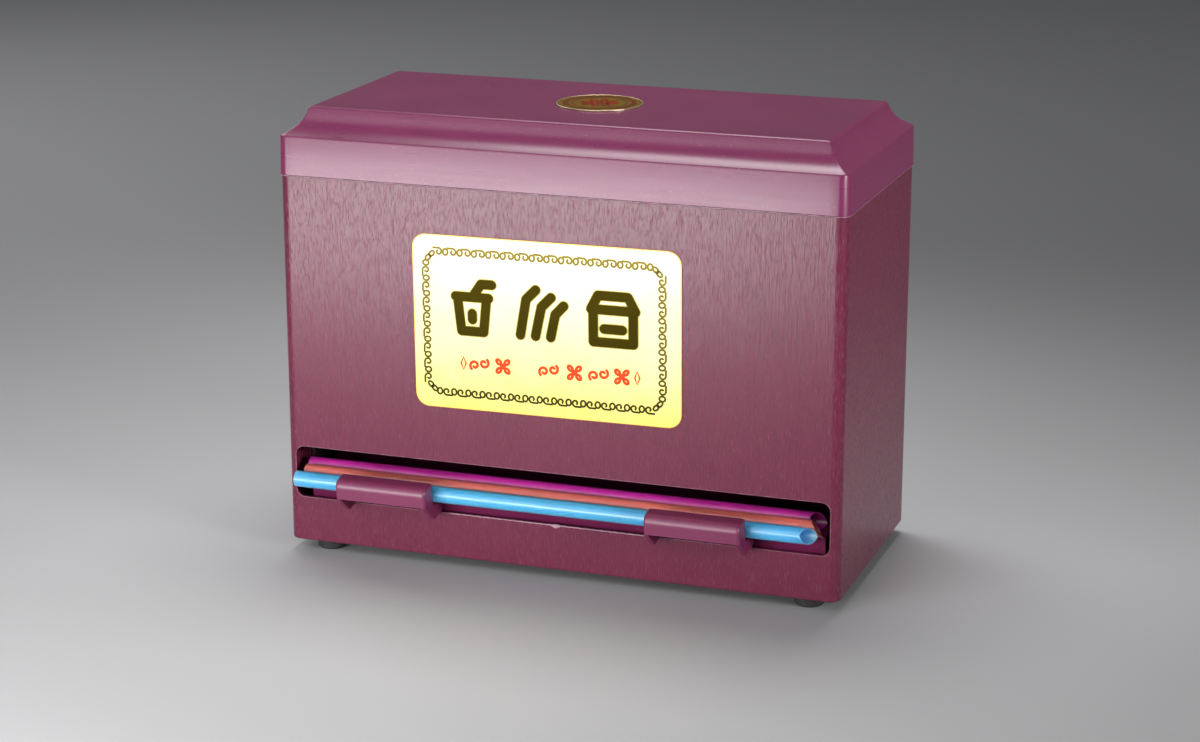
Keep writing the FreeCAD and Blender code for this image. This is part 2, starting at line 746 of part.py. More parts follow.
def make_screws():
    base_length = base_thickness + base_clearance + base_screw_bite - screw_tip_room
    base = [screw_up(base_screw_diameter, base_length, x, y, base_bottom) for x, y in base_screw_places()]
    keep("base_screws", Part.makeCompound(base))
    bracket = [screw_up(small_screw_diameter, base_thickness + bracket_screw_bite, x, y, base_bottom)
               for x, y in bracket_screw_places()]
    keep("bracket_screws", Part.makeCompound(bracket))
    hopper_length = base_thickness + hopper_screw_bite - screw_tip_room
    hopper = [screw_up(small_screw_diameter, hopper_length, x, y, base_bottom)
              for x, y in hopper_screw_places()]
    keep("hopper_screws", Part.makeCompound(hopper))
    pad_low = arm_top_w - tab_pad_wall
    tab_length = tab_pad_wall + tab_fit + tab_screw_bite - tab_screw_tip_room
    tab = [screw_up(small_screw_diameter, tab_length, x, tab_screw_u(), pad_low)
           for x in tab_screw_places()]
    keep("tab_screws", Part.makeCompound(tab), on_lever=True)


make_body_shell()
make_base()
make_feet()
make_hopper()
make_brackets()
make_tray()
make_tab("finger_tab_left", tab_left_x)
make_tab("finger_tab_right", tab_right_x)
make_axle()
make_screws()
make_straw("straw_blue", 0, straw_left_blue, straw_turn_blue)
make_straw("straw_orange", 1, straw_left_orange, straw_turn_orange)
make_straw("straw_magenta", 2, straw_left_magenta, straw_turn_magenta)
make_lid()
make_plaque()

os.makedirs("parts", exist_ok=True)
for name, shape in pieces.items():
    placed = shape.copy()
    placed.translate(Vector(0, -origin_y, -origin_z))
    placed.exportStep("parts/" + name + ".step")
    print(name, "solids", len(placed.Solids), "valid", placed.isValid(), "volume", round(placed.Volume))
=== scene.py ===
import math

import bpy
import numpy as np
from mathutils import Matrix, Vector


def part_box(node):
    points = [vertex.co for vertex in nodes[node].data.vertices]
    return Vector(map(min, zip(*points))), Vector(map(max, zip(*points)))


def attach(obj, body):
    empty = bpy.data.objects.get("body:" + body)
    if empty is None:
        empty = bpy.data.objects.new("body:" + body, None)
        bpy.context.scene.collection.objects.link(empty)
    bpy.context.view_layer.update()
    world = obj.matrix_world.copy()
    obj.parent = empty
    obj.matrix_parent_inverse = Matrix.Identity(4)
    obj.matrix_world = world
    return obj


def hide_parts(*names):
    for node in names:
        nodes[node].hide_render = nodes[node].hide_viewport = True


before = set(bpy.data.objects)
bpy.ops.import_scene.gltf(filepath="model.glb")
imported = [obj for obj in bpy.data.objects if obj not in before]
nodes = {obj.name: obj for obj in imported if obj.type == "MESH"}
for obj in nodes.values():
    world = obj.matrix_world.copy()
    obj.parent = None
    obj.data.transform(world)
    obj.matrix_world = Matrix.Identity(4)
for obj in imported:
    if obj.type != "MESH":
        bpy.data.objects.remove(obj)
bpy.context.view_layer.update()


# Base plate
# The floor of the box, moulded in plain maroon plastic with two low ribs. Four screws hold it up
# inside the body, and the feet, the hopper and the lever's brackets are fixed to it.

def moulded_skin():
    """A group for the skin of moulded plastic: mottling, flow lines in level sheets, pits and dust."""
    group = bpy.data.node_groups.new("moulded_skin", "ShaderNodeTree")
    face = group.interface
    for name, start in (("Mottle Scale", 30.0), ("Flow Scale", 900.0), ("Pit Scale", 2200.0),
                        ("Speck Scale", 2400.0)):
        face.new_socket(name, in_out="INPUT", socket_type="NodeSocketFloat").default_value = start
    for name in ("Mottle", "Flow", "Pits", "Specks"):
        face.new_socket(name, in_out="OUTPUT", socket_type="NodeSocketFloat")
    node = group.nodes.new
    link = group.links.new
    given = node("NodeGroupInput")
    result = node("NodeGroupOutput")
    place = node("ShaderNodeTexCoord")
    level = 0.03
    for name, detail, low, high, along in (("Mottle", 3.0, 0.3, 0.7, 1.0), ("Flow", 3.0, 0.3, 0.7, level),
                                           ("Pits", 2.0, 0.2, 0.8, 1.0), ("Specks", 0.0, 0.81, 0.85, 1.0)):
        stretch = node("ShaderNodeMapping")
        stretch.inputs["Scale"].default_value = (along, along, 1.0)
        noise = node("ShaderNodeTexNoise")
        noise.inputs["Detail"].default_value = detail
        spread = node("ShaderNodeMapRange")
        spread.inputs["From Min"].default_value = low
        spread.inputs["From Max"].default_value = high
        link(place.outputs["Object"], stretch.inputs["Vector"])
        link(stretch.outputs["Vector"], noise.inputs["Vector"])
        link(given.outputs[name.rstrip("s") + " Scale"], noise.inputs["Scale"])
        link(noise.outputs["Fac"], spread.inputs["Value"])
        link(spread.outputs["Result"], result.inputs[name])
    return group


skin_group = moulded_skin()
glossier, duller = 0.02, 0.03
dust_colour = (0.62, 0.50, 0.56)


def moulded_plastic(name, colour, shade, roughness, relief=0.00002, mottle_scale=30.0, dust=0.5):
    """Plastic of two close tones, with a pitted skin, glossier and duller flow lines, and a little dust."""
    material = bpy.data.materials.new(name)
    material.use_nodes = True
    node = material.node_tree.nodes.new
    link = material.node_tree.links.new
    shader = material.node_tree.nodes["Principled BSDF"]
    skin = node("ShaderNodeGroup")
    skin.node_tree = skin_group
    skin.inputs["Mottle Scale"].default_value = mottle_scale
    gloss = node("ShaderNodeMapRange")
    gloss.inputs["To Min"].default_value = roughness - glossier
    gloss.inputs["To Max"].default_value = roughness + duller
    link(skin.outputs["Flow"], gloss.inputs["Value"])
    link(gloss.outputs["Result"], shader.inputs["Roughness"])
    tone = node("ShaderNodeMix")
    tone.data_type = "RGBA"
    tone.inputs["A"].default_value = (*shade, 1.0)
    tone.inputs["B"].default_value = (*colour, 1.0)
    link(skin.outputs["Mottle"], tone.inputs["Factor"])
    dust_share = node("ShaderNodeMath")
    dust_share.operation = "MULTIPLY"
    dust_share.inputs[1].default_value = dust
    link(skin.outputs["Specks"], dust_share.inputs[0])
    dusted = node("ShaderNodeMix")
    dusted.data_type = "RGBA"
    dusted.inputs["B"].default_value = (*dust_colour, 1.0)
    link(dust_share.outputs["Value"], dusted.inputs["Factor"])
    link(tone.outputs["Result"], dusted.inputs["A"])
    link(dusted.outputs["Result"], shader.inputs["Base Color"])
    bump = node("ShaderNodeBump")
    bump.inputs["Distance"].default_value = relief
    link(skin.outputs["Pits"], bump.inputs["Height"])
    link(bump.outputs["Normal"], shader.inputs["Normal"])
    return material


def finish_node(name, material):
    """Gives a CAD node its finish."""
    mesh = nodes[name].data
    mesh.materials.clear()
    mesh.materials.append(material)


# The inner mouldings are coloured a near-black maroon, far darker than the body's: painted shade for the dark
# inside of the closed box.
inner_plastic = moulded_plastic("inner_plastic", (0.036, 0.008, 0.018), (0.026, 0.006, 0.013), 0.6)
finish_node("base_plate", inner_plastic)


# Feet
# Four rubber buttons whose stems snap through the base plate. They are black and a little dusty.

def rubber(name):
    """Black rubber, pitted, with a grey bloom that comes and goes."""
    return moulded_plastic(name, (0.022, 0.022, 0.024), (0.010, 0.010, 0.011), 0.62,
                           relief=0.00004, mottle_scale=300.0, dust=0.12)


foot_rubber = rubber("foot_rubber")
for foot in ("foot_front_left", "foot_front_right", "foot_rear_left", "foot_rear_right"):
    finish_node(foot, foot_rubber)


# Screws, axle and clips
# Zinc-plated self-tapping screws, a drawn steel rod and two spring clips beside the brackets.

steel_shade = 0.72


def drawn_steel(name, colour, roughness, scale, relief):
    """Bright steel with fine lines along its length, worked as noise that is stretched along X."""
    material = bpy.data.materials.new(name)
    material.use_nodes = True
    node = material.node_tree.nodes.new
    link = material.node_tree.links.new
    shader = material.node_tree.nodes["Principled BSDF"]
    shader.inputs["Metallic"].default_value = 1.0
    place = node("ShaderNodeTexCoord")
    stretch = node("ShaderNodeMapping")
    stretch.inputs["Scale"].default_value = (0.05, 1.0, 1.0)
    lines = node("ShaderNodeTexNoise")
    lines.inputs["Scale"].default_value = scale
    lines.inputs["Detail"].default_value = 4.0
    link(place.outputs["Object"], stretch.inputs["Vector"])
    link(stretch.outputs["Vector"], lines.inputs["Vector"])
    tone = node("ShaderNodeMix")
    tone.data_type = "RGBA"
    tone.inputs["A"].default_value = (*[steel_shade * part for part in colour], 1.0)
    tone.inputs["B"].default_value = (*colour, 1.0)
    link(lines.outputs["Fac"], tone.inputs["Factor"])
    link(tone.outputs["Result"], shader.inputs["Base Color"])
    gloss = node("ShaderNodeMapRange")
    gloss.inputs["To Min"].default_value = roughness - 0.08
    gloss.inputs["To Max"].default_value = roughness + 0.12
    link(lines.outputs["Fac"], gloss.inputs["Value"])
    link(gloss.outputs["Result"], shader.inputs["Roughness"])
    bump = node("ShaderNodeBump")
    bump.inputs["Distance"].default_value = relief
    link(lines.outputs["Fac"], bump.inputs["Height"])
    link(bump.outputs["Normal"], shader.inputs["Normal"])
    return material


bright_steel = drawn_steel("bright_steel", (0.62, 0.62, 0.64), 0.28, 1800.0, 0.00001)
screw_steel = drawn_steel("screw_steel", (0.55, 0.55, 0.53), 0.36, 900.0, 0.00002)
for part in ("axle_rod", "axle_clips"):
    finish_node(part, bright_steel)
for part in ("base_screws", "bracket_screws", "hopper_screws", "tab_screws"):
    finish_node(part, screw_steel)


# Brackets and bushes
# Two pedestals on the base plate carry the axle. A slippery white bush is pressed into each.

bush_plastic = moulded_plastic("bush_plastic", (0.72, 0.71, 0.66), (0.62, 0.61, 0.56), 0.42)
for side in ("left", "right"):
    finish_node("bracket_" + side, inner_plastic)
    finish_node("bush_" + side, bush_plastic)


# Hopper
# Two end plates, a sloping floor and a sloping front guide, flat mouldings that lead the straws
# down to the lever tray. Their lugs hang in slots of the end plates.

for part in ("hopper_side_left", "hopper_side_right", "front_guide", "hopper_ramp"):
    finish_node(part, inner_plastic)


# Lever tray and finger tabs
# One lever of three mouldings: the sloping tray and two hooked tabs screwed under it. The tabs
# are smooth and satin, and their edges are rounded where fingers lift them.

lever_plastic = moulded_plastic("lever_plastic", (0.165, 0.018, 0.070), (0.146, 0.016, 0.062), 0.40,
                                relief=0.00001, mottle_scale=22.0)
lever_gloss = lever_plastic.node_tree.nodes["Principled BSDF"]
lever_gloss.inputs["Coat Weight"].default_value = 0.35
lever_gloss.inputs["Coat Roughness"].default_value = 0.42
# The tray's colour is the tabs' maroon made darker: painted shade for the shadow that the straws cast on it.
tray_plastic_painted_shade = moulded_plastic("tray_plastic_painted_shade", (0.130, 0.007, 0.052), (0.105, 0.005, 0.042), 0.5)
tray_plastic_painted_shade.node_tree.nodes["Principled BSDF"].inputs["Specular IOR Level"].default_value = 0.2
finish_node("lever_tray", tray_plastic_painted_shade)
for part in ("finger_tab_left", "finger_tab_right"):
    finish_node(part, lever_plastic)


# Body
# A straight box in maroon plastic, moulded with a fine upright wood grain on the front and sides.
# The slot for the straws runs along the foot of its front wall.

def upright_grain():
    """A group for moulded wood grain: noise in tall thin cells, bent a little from side to side.

    Grain is the slow light and dark of the boards, Pores the short upright ticks between them.
    """
    group = bpy.data.node_groups.new("upright_grain", "ShaderNodeTree")
    face = group.interface
    for name, start in (("Grain Scale", 1700.0), ("Pore Scale", 3300.0), ("Sway", 0.003)):
        face.new_socket(name, in_out="INPUT", socket_type="NodeSocketFloat").default_value = start
    for name in ("Grain", "Pores"):
        face.new_socket(name, in_out="OUTPUT", socket_type="NodeSocketFloat")
    node = group.nodes.new
    link = group.links.new
    given = node("NodeGroupInput")
    result = node("NodeGroupOutput")
    place = node("ShaderNodeTexCoord")
    bend = node("ShaderNodeTexNoise")
    bend.inputs["Scale"].default_value = 26.0
    centred = node("ShaderNodeVectorMath")
    centred.operation = "SUBTRACT"
    centred.inputs[1].default_value = (0.5, 0.5, 0.5)
    sway = node("ShaderNodeVectorMath")
    sway.operation = "SCALE"
    moved = node("ShaderNodeVectorMath")
    moved.operation = "ADD"
    link(place.outputs["Object"], bend.inputs["Vector"])
    link(bend.outputs["Color"], centred.inputs[0])
    link(centred.outputs["Vector"], sway.inputs[0])
    link(given.outputs["Sway"], sway.inputs["Scale"])
    link(place.outputs["Object"], moved.inputs[0])
    link(sway.outputs["Vector"], moved.inputs[1])
    for name, source, tall, low, high in (("Grain", "Grain Scale", 0.045, 0.30, 0.70),
                                          ("Pores", "Pore Scale", 0.090, 0.54, 0.72)):
        stretch = node("ShaderNodeMapping")
        stretch.inputs["Scale"].default_value = (1.0, 1.0, tall)
        noise = node("ShaderNodeTexNoise")
        noise.inputs["Detail"].default_value = 3.0
        spread = node("ShaderNodeMapRange")
        spread.inputs["From Min"].default_value = low
        spread.inputs["From Max"].default_value = high
        link(moved.outputs["Vector"], stretch.inputs["Vector"])
        link(stretch.outputs["Vector"], noise.inputs["Vector"])
        link(given.outputs[source], noise.inputs["Scale"])
        link(noise.outputs["Fac"], spread.inputs["Value"])
        link(spread.outputs["Result"], result.inputs[name])
    return group


tick_share = 0.45
tick_depth = 0.00005
board_depth = 0.00004
smooth_gloss, tick_gloss = 0.25, 0.36


def grained_plastic(name, colour, shade, tick):
    """Maroon plastic with the grain as relief, as two close tones, and as paler, duller ticks."""
    material = bpy.data.materials.new(name)
    material.use_nodes = True
    node = material.node_tree.nodes.new
    link = material.node_tree.links.new
    shader = material.node_tree.nodes["Principled BSDF"]
    shader.inputs["Specular IOR Level"].default_value = 0.36
    grain = node("ShaderNodeGroup")
    grain.node_tree = upright_grain()
    skin = node("ShaderNodeGroup")
    skin.node_tree = skin_group
    tone = node("ShaderNodeMix")
    tone.data_type = "RGBA"
    tone.inputs["A"].default_value = (*shade, 1.0)
    tone.inputs["B"].default_value = (*colour, 1.0)
    ticked = node("ShaderNodeMix")
    ticked.data_type = "RGBA"
    ticked.inputs["B"].default_value = (*tick, 1.0)
    part = node("ShaderNodeMath")
    part.operation = "MULTIPLY"
    part.inputs[1].default_value = tick_share
    link(grain.outputs["Grain"], tone.inputs["Factor"])
    link(grain.outputs["Pores"], part.inputs[0])
    link(part.outputs["Value"], ticked.inputs["Factor"])
    link(tone.outputs["Result"], ticked.inputs["A"])
    link(ticked.outputs["Result"], shader.inputs["Base Color"])
    gloss = node("ShaderNodeMapRange")
    gloss.inputs["To Min"].default_value = smooth_gloss
    gloss.inputs["To Max"].default_value = tick_gloss
    link(grain.outputs["Pores"], gloss.inputs["Value"])
    link(gloss.outputs["Result"], shader.inputs["Roughness"])
    deep = node("ShaderNodeBump")
    deep.inputs["Distance"].default_value = tick_depth
    deep.invert = True
    fine = node("ShaderNodeBump")
    fine.inputs["Distance"].default_value = board_depth
    link(grain.outputs["Pores"], deep.inputs["Height"])
    link(grain.outputs["Grain"], fine.inputs["Height"])
    link(deep.outputs["Normal"], fine.inputs["Normal"])
    link(fine.outputs["Normal"], shader.inputs["Normal"])
    return material


body_plastic = grained_plastic("body_plastic", colour=(0.140, 0.017, 0.047), shade=(0.106, 0.012, 0.035),
                               tick=(0.220, 0.074, 0.105))
finish_node("body_shell", body_plastic)


# Straws
# Thin glossy tubes, cut square at one end and slantwise to a point at the other. The front one
# lies in the trough of the tabs, and the others wait behind it on the tray.

def grid_faces(rows, columns, first, round_rows, round_columns):
    """Quads between neighbours of a grid of points, with the last row or column joined to the first."""
    row = np.arange(rows if round_rows else rows - 1)[:, None]
    column = np.arange(columns if round_columns else columns - 1)[None, :]
    next_row = (row + 1) % rows
    next_column = (column + 1) % columns
    corners = np.stack((row * columns + column, row * columns + next_column,
                        next_row * columns + next_column, next_row * columns + column), axis=-1)
    return (corners.reshape(-1, 4) + first).tolist()


def surface(name, grids, material, body, smooth=40.0):
    """A mesh piece from grids (points, round_rows, round_columns, capped), with its faces outwards.

    A capped grid has its first and last rows closed by one flat face each. The volume that all the
    faces enclose tells whether they were wound inwards, and then every face is turned round.
    """
    points = []
    faces = []
    for grid, round_rows, round_columns, capped in grids:
        rows, columns = grid.shape[:2]
        first = sum(len(part) for part in points)
        points.append(grid.reshape(-1, 3))
        faces += grid_faces(rows, columns, first, round_rows, round_columns)
        if capped:
            faces.append([first + step for step in reversed(range(columns))])
            faces.append([first + (rows - 1) * columns + step for step in range(columns)])
    mesh = bpy.data.meshes.new(name)
    mesh.from_pydata(np.concatenate(points).tolist(), [], faces)
    mesh.update()
    piece = bpy.data.objects.new(name, mesh)
    bpy.context.scene.collection.objects.link(piece)
    mesh.calc_loop_triangles()
    corners = np.array([triangle.vertices for triangle in mesh.loop_triangles])
    a, b, c = (np.concatenate(points)[corners[:, side]] for side in range(3))
    if np.einsum("ij,ij->i", a, np.cross(b, c)).sum() < 0:
        mesh.flip_normals()
    mesh.shade_smooth()
    mesh.set_sharp_from_angle(angle=math.radians(smooth))
    mesh.materials.append(material)
    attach(piece, body)
    return piece


straw_wall = 0.0003
straw_edge = 0.00008
straw_bevel = 0.0064
straw_nip = 0.75
straw_slope = math.radians(9.5)
straw_turns = {"straw_blue": -25.5, "straw_orange": -114.5, "straw_magenta": -44.5}
straw_colours = {
    "straw_blue": ((0.055, 0.39, 0.97), (0.085, 0.46, 0.98)),
    "straw_orange": ((0.92, 0.130, 0.105), (0.95, 0.175, 0.145)),
    "straw_magenta": ((0.58, 0.014, 0.30), (0.66, 0.026, 0.37)),
}


def straw_points(low, high, tip_turn):
    """A tube whose wall runs out along the outside and back along the inside of the bore.

    At angle t the outside is radius * (cos t, sin t) about the straw's middle line. The right end
    is at right - bevel / 2 * (1 - lean), where lean is 1 at the tip and -1 opposite to it. It is
    part cosine, as a slanting plane gives, and part an even fall, because the blade nips the tube
    and leaves it pointed.
    """
    radius = (high.z - low.z) / 2
    middle = (low + high) / 2
    turn = np.linspace(0, 2 * np.pi, 65)[:-1]
    run = np.linspace(0, 1, 41)
    edge = np.zeros(len(run))
    edge[[0, -1]] = straw_edge
    reach = np.concatenate((radius - edge, (radius - straw_wall + edge)[::-1]))[:, None]
    along = np.concatenate((run, run[::-1]))[:, None]
    apart = np.abs((turn - tip_turn + np.pi) % (2 * np.pi) - np.pi)
    lean = (straw_nip * (1 - 2 * apart / np.pi) + (1 - straw_nip) * np.cos(apart))[None, :]
    right = high.x - straw_bevel / 2 * (1 - reach / radius * lean)
    x = low.x + along * (right - low.x)
    y = middle.y + reach * np.cos(turn)
    z = middle.z + reach * np.sin(turn)
    return np.stack((x, y, z), axis=-1)


def straw_plastic(name, deep, bright):
    """Thin coloured plastic that lets some light through its wall, with slow bands along its length."""
    material = bpy.data.materials.new(name)
    material.use_nodes = True
    node = material.node_tree.nodes.new
    link = material.node_tree.links.new
    shader = material.node_tree.nodes["Principled BSDF"]
    shader.inputs["Roughness"].default_value = 0.34
    shader.inputs["Coat Weight"].default_value = 0.6
    shader.inputs["Coat Roughness"].default_value = 0.3
    shader.inputs["Subsurface Weight"].default_value = 0.8
    shader.inputs["Subsurface Radius"].default_value = (1.0, 1.0, 1.0)
    shader.inputs["Subsurface Scale"].default_value = 0.002
    place = node("ShaderNodeTexCoord")
    stretch = node("ShaderNodeMapping")
    stretch.inputs["Scale"].default_value = (0.02, 1.0, 1.0)
    bands = node("ShaderNodeTexNoise")
    bands.inputs["Scale"].default_value = 500.0
    bands.inputs["Detail"].default_value = 2.0
    link(place.outputs["Object"], stretch.inputs["Vector"])
    link(stretch.outputs["Vector"], bands.inputs["Vector"])
    tone = node("ShaderNodeMix")
    tone.data_type = "RGBA"
    tone.inputs["A"].default_value = (*deep, 1.0)
    tone.inputs["B"].default_value = (*bright, 1.0)
    link(bands.outputs["Fac"], tone.inputs["Factor"])
    link(tone.outputs["Result"], shader.inputs["Base Color"])
    bump = node("ShaderNodeBump")
    bump.inputs["Distance"].default_value = 0.000002
    link(bands.outputs["Fac"], bump.inputs["Height"])
    link(bump.outputs["Normal"], shader.inputs["Normal"])
    return material


for name, turn in straw_turns.items():
    low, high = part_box(name)
    body = "front_straw" if name == "straw_blue" else "lever"
    grid = straw_points(low, high, math.radians(turn) + straw_slope)
    material = straw_plastic(name, *straw_colours[name])
    piece = surface(name + "_tube", [(grid, True, True, False)], material, body)
    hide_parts(name)


# Lid
# One loose cap of smooth satin plastic: a straight band, a hollow moulding and a flat top with
# mitred corners. A thin flash is left along its lower edge, where the two halves of the mould met.

lid_low, lid_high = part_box("lid")
lid_wall = 0.0022
lid_corner = 0.0046
lid_draft = 0.0006
lid_band = 0.0172
cove_width = 0.0102
cove_hollow = 0.0022
ledge_round = 0.0019
inner_round = 0.001
lid_bead = 0.0002
lid_foot = 0.0012
lid_pole = 0.0004
lid_sink = ((0.030, 0.00012), (0.016, 0.00002))
lid_sink_middle = 0.0002
corner_taper = 1.2
least_corner = 0.0006
pole_corner = 0.0002
nearly_straight = 1.55


def bend_corners(points, radii, steps=6):
    """An open outline with each inner corner turned into an arc of the given radius.

    The arc starts and ends at radius * tan(turn / 2) from the corner, and its middle lies on the
    corner's bisector. A radius of 0 keeps the corner.
    """
    bent = [points[0]]
    for before, corner, after, radius in zip(points[:-2], points[1:-1], points[2:], radii):
        before, corner, after = (np.array(point, float) for point in (before, corner, after))
        back = (before - corner) / np.linalg.norm(before - corner)
        ahead = (after - corner) / np.linalg.norm(after - corner)
        half_open = math.acos(max(-1.0, min(1.0, float(back @ ahead)))) / 2
        if radius == 0 or half_open > nearly_straight:
            bent.append(tuple(corner))
            continue
        bisector = (back + ahead) / np.linalg.norm(back + ahead)
        middle = corner + bisector * radius / math.sin(half_open)
        start = corner + back * radius / math.tan(half_open) - middle
        end = corner + ahead * radius / math.tan(half_open) - middle
        sweep = math.pi - 2 * half_open
        for share in np.linspace(0, 1, steps):
            mixed = (math.sin((1 - share) * sweep) * start + math.sin(share * sweep) * end) / math.sin(sweep)
            bent.append(tuple(middle + mixed))
    bent.append(points[-1])
    return np.array(bent, float)


def rounded_rings(insets, heights, radii, half_x, half_y, side_steps=60, corner_steps=10):
    """A profile carried round a rectangle: ring i lies insets[i] inside it, at heights[i].

    Each corner of ring i is a quarter circle of radii[i], and straight runs join the quarters.
    """
    inset, radius = insets[:, None], radii[:, None]
    quarter = np.linspace(0, np.pi / 2, corner_steps)[None, :]
    corners = []
    for number, (side_x, side_y) in enumerate(((1, 1), (-1, 1), (-1, -1), (1, -1))):
        angle = quarter + number * np.pi / 2
        corners.append((side_x * (half_x - inset - radius) + radius * np.cos(angle),
                        side_y * (half_y - inset - radius) + radius * np.sin(angle)))
    share = np.linspace(0, 1, side_steps + 2)[None, 1:-1]
    across, deep = [], []
    for (x0, y0), (x1, y1) in zip(corners, corners[1:] + corners[:1]):
        across += [x0, x0[:, -1:] * (1 - share) + x1[:, :1] * share]
        deep += [y0, y0[:, -1:] * (1 - share) + y1[:, :1] * share]
    x, y = np.hstack(across), np.hstack(deep)
    return np.stack((x, y, np.broadcast_to(heights[:, None], x.shape)), axis=-1)


def lid_points():
    """The lid's outside from the middle of its top down to the flash, and back up its inside.

    The hollow moulding is a parabola from brow to ledge, cove_hollow below the straight line between
    them at its middle. The top sinks a little towards the middle of the lid.
    """
    half_x = (lid_high.x - lid_low.x) / 2
    half_y = (lid_high.y - lid_low.y) / 2
    low, top = lid_low.z, lid_high.z
    brow = (lid_draft, low + lid_band)
    ledge = (lid_draft + cove_width, top)
    chord = np.subtract(ledge, brow)
    length = np.linalg.norm(chord)
    out = np.array((chord[1], -chord[0])) / length
    share = np.linspace(0, 1, 15)[1:-1]
    belly = [tuple(np.array(brow) + chord * s + out * cove_hollow * 4 * s * (1 - s)) for s in share]
    outline = [(half_y - lid_pole, top - lid_sink_middle), *[(inset, top - sink) for inset, sink in lid_sink],
               ledge, *belly[::-1], brow, (lid_bead, low + 2.6 * lid_bead), (0.0, low + 1.6 * lid_bead),
               (0.0, low + 0.8 * lid_bead), (lid_bead, low), (lid_foot, low)]
    radii = [0.0, 0.0, ledge_round] + [0.0] * len(belly) + [0.0008, 0.0, 0.0, 0.0, 0.0]
    outer = bend_corners(outline, radii)
    wall = lid_wall
    inner = bend_corners([(wall, low), (wall + lid_draft, low + lid_band - wall),
                          (wall + lid_draft + cove_width, top - wall), (half_y - lid_pole, top - wall)],
                         [inner_round, inner_round])
    profile = np.vstack((outer, inner))
    inset, height = profile[:, 0], profile[:, 1]
    radius = np.maximum(lid_corner - corner_taper * inset, least_corner)
    radius[inset > half_y - 2.5 * lid_pole] = pole_corner
    rings = rounded_rings(inset, height, radius, half_x, half_y)
    middle = (lid_low + lid_high) / 2
    return rings + np.array((middle.x, middle.y, 0.0))


lid_plastic = moulded_plastic("lid_plastic", (0.178, 0.027, 0.084), (0.160, 0.023, 0.075), 0.29,
                              relief=0.00001, mottle_scale=18.0)
lid_piece = surface("lid_cap", [(lid_points(), False, True, True)], lid_plastic, "lid", 32.0)
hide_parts("lid")


# Lid badge
# A thin disc of brownish gold foil with a pale raised rim, stuck in a shallow recess of the lid's
# top. A plain rosette in dark red stands on it.

badge_low, badge_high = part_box("lid_badge")
badge_radius = (badge_high.x - badge_low.x) / 2
badge_rim = 0.0006
badge_sink = 0.00012
badge_round = 0.0001
badge_bands = ((0.0148, 0.0022), (0.0118, 0.0004))
rosette_reach = 0.0058
rosette_line = 0.0009


def turned(profile, centre, turns=96):
    """A profile of (radius, height) points turned round an upright line through the centre."""
    angle = np.linspace(0, 2 * np.pi, turns + 1)[:-1][None, :]
    radius = profile[:, :1]
    height = np.broadcast_to(profile[:, 1:], (len(profile), turns))
    return np.stack((centre.x + radius * np.cos(angle), centre.y + radius * np.sin(angle), height), axis=-1)


def stroke(path, width, low, high, closed=False, round_steps=0):
    """A printed line: a flat section carried along a path of (u, v) points, from one height to another.

    Its edges lie width / 2 beside the path, square to it. With round steps, each open end runs on
    as half a circle: the line's width is width * cos a at the distance width / 2 * sin a.
    """
    path = np.array(path, float)
    breadth = np.full(len(path), width)
    if round_steps:
        angle = np.radians(np.linspace(78, 15, round_steps))[:, None]
        first = (path[0] - path[1]) / np.linalg.norm(path[0] - path[1])
        last = (path[-1] - path[-2]) / np.linalg.norm(path[-1] - path[-2])
        path = np.vstack((path[0] + first * width / 2 * np.sin(angle), path,
                          path[-1] + last * width / 2 * np.sin(angle[::-1])))
        ends = width * np.cos(angle[:, 0])
        breadth = np.concatenate((ends, breadth, ends[::-1]))
    if closed:
        ahead = np.roll(path, -1, axis=0) - np.roll(path, 1, axis=0)
    else:
        ahead = np.gradient(path, axis=0)
    ahead /= np.linalg.norm(ahead, axis=1)[:, None]
    side = np.stack((-ahead[:, 1], ahead[:, 0]), axis=-1) * breadth[:, None] / 2
    corners = [(path + side, low), (path - side, low), (path - side, high), (path + side, high)]
    grid = np.stack([np.column_stack((flat, np.full(len(path), lift))) for flat, lift in corners], axis=1)
    return grid, closed, True, not closed


def oval(u, v, half_u, half_v, turn=0.0, steps=16):
    """Points round an oval whose longer way is turned by an angle."""
    angle = np.linspace(0, 2 * np.pi, steps + 1)[:-1]
    x, y = half_u * np.cos(angle), half_v * np.sin(angle)
    return np.column_stack((u + x * math.cos(turn) - y * math.sin(turn),
                            v + x * math.sin(turn) + y * math.cos(turn)))


def foil(name, colour, shade, roughness, metal=0.75):
    """Printed metal foil: two tones in slow clouds, with fine pits."""
    material = moulded_plastic(name, colour, shade, roughness, 0.000006, 160.0, 0.2)
    shader = material.node_tree.nodes["Principled BSDF"]
    shader.inputs["Metallic"].default_value = metal
    shader.inputs["Specular IOR Level"].default_value = 0.15
    return material


